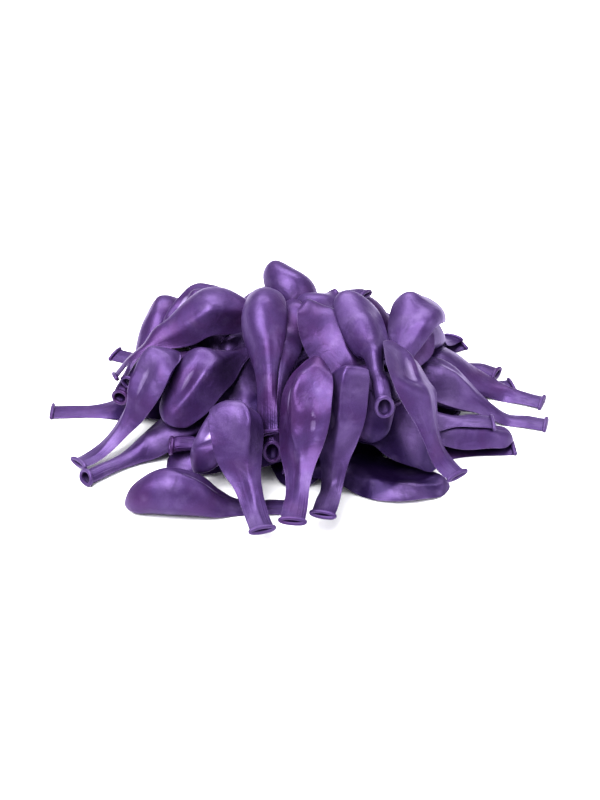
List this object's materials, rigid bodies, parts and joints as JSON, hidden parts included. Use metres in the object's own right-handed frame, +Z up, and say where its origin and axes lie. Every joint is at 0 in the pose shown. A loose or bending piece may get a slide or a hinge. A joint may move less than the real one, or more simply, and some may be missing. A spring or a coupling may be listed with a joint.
{
  "type": "heap of uninflated latex balloons",
  "caption": "Loose heap of slack, uninflated round latex balloons with rolled lips, piled on a flat surface.",
  "frame": {"origin": "on the table plane, under the middle of the heap's bounding box", "axes": "+Z up from the table, +X along the heap's longest side, -Y towards its front"},
  "size_m": [0.4782, 0.3972, 0.1372],
  "materials": {
    "latex": "pearlescent violet latex with a satin sheen"
  },
  "bodies": {
    "heap": {"core_centre": "latex", "core_left": "latex", "core_right": "latex", "core_front": "latex", "core_front_right": "latex", "base_front_lying": "latex", "base_front_pocket": "latex", "base_front_curl": "latex", "base_left_low": "latex", "base_left_out": "latex", "base_back_left": "latex", "base_back_one": "latex", "base_back_two": "latex", "base_back_right": "latex", "base_right_out": "latex", "base_right_flat": "latex", "middle_back_left": "latex", "middle_centre": "latex", "middle_left": "latex", "middle_right": "latex", "middle_back": "latex", "front_oval_mouth": "latex", "front_tucked": "latex", "right_crescent": "latex", "right_ringed": "latex", "right_cone_mouth": "latex", "front_flap": "latex", "right_round": "latex", "back_slope_left": "latex", "back_slope_middle": "latex", "back_slope_right": "latex", "left_hidden_mouth": "latex", "left_folded": "latex", "left_far": "latex", "left_shoulder": "latex", "left_tongue": "latex", "right_edge_curl": "latex", "right_behind": "latex", "right_big": "latex", "right_far_round": "latex", "crown_back_neck": "latex", "crown_back_lip": "latex", "crown_round_left": "latex", "crown_round_middle": "latex", "crown_small_mouth": "latex", "crown_dented": "latex", "front_round_mouth": "latex", "top_left": "latex", "top_folded": "latex", "top_round_mouth": "latex", "front_right": "latex"},
    "left_long_balloon": {"left_long": "latex"},
    "crown_shoulder_balloon": {"crown_shoulder": "latex"},
    "front_curve_balloon": {"front_curve": "latex"},
    "front_left_balloon": {"front_left": "latex"},
    "front_middle_balloon": {"front_middle": "latex"}
  },
  "joints": [
    {"name": "left_long_lift", "type": "slide", "parent": "heap", "child": "left_long_balloon", "axis": [0, 0, 1], "range_m": [0, 0.15]},
    {"name": "crown_shoulder_lift", "type": "slide", "parent": "heap", "child": "crown_shoulder_balloon", "axis": [0, 0, 1], "range_m": [0, 0.15]},
    {"name": "front_curve_lift", "type": "slide", "parent": "heap", "child": "front_curve_balloon", "axis": [0, 0, 1], "range_m": [0, 0.15]},
    {"name": "front_left_lift", "type": "slide", "parent": "heap", "child": "front_left_balloon", "axis": [0, 0, 1], "range_m": [0, 0.15]},
    {"name": "front_middle_lift", "type": "slide", "parent": "heap", "child": "front_middle_balloon", "axis": [0, 0, 1], "range_m": [0, 0.15]}
  ]
}
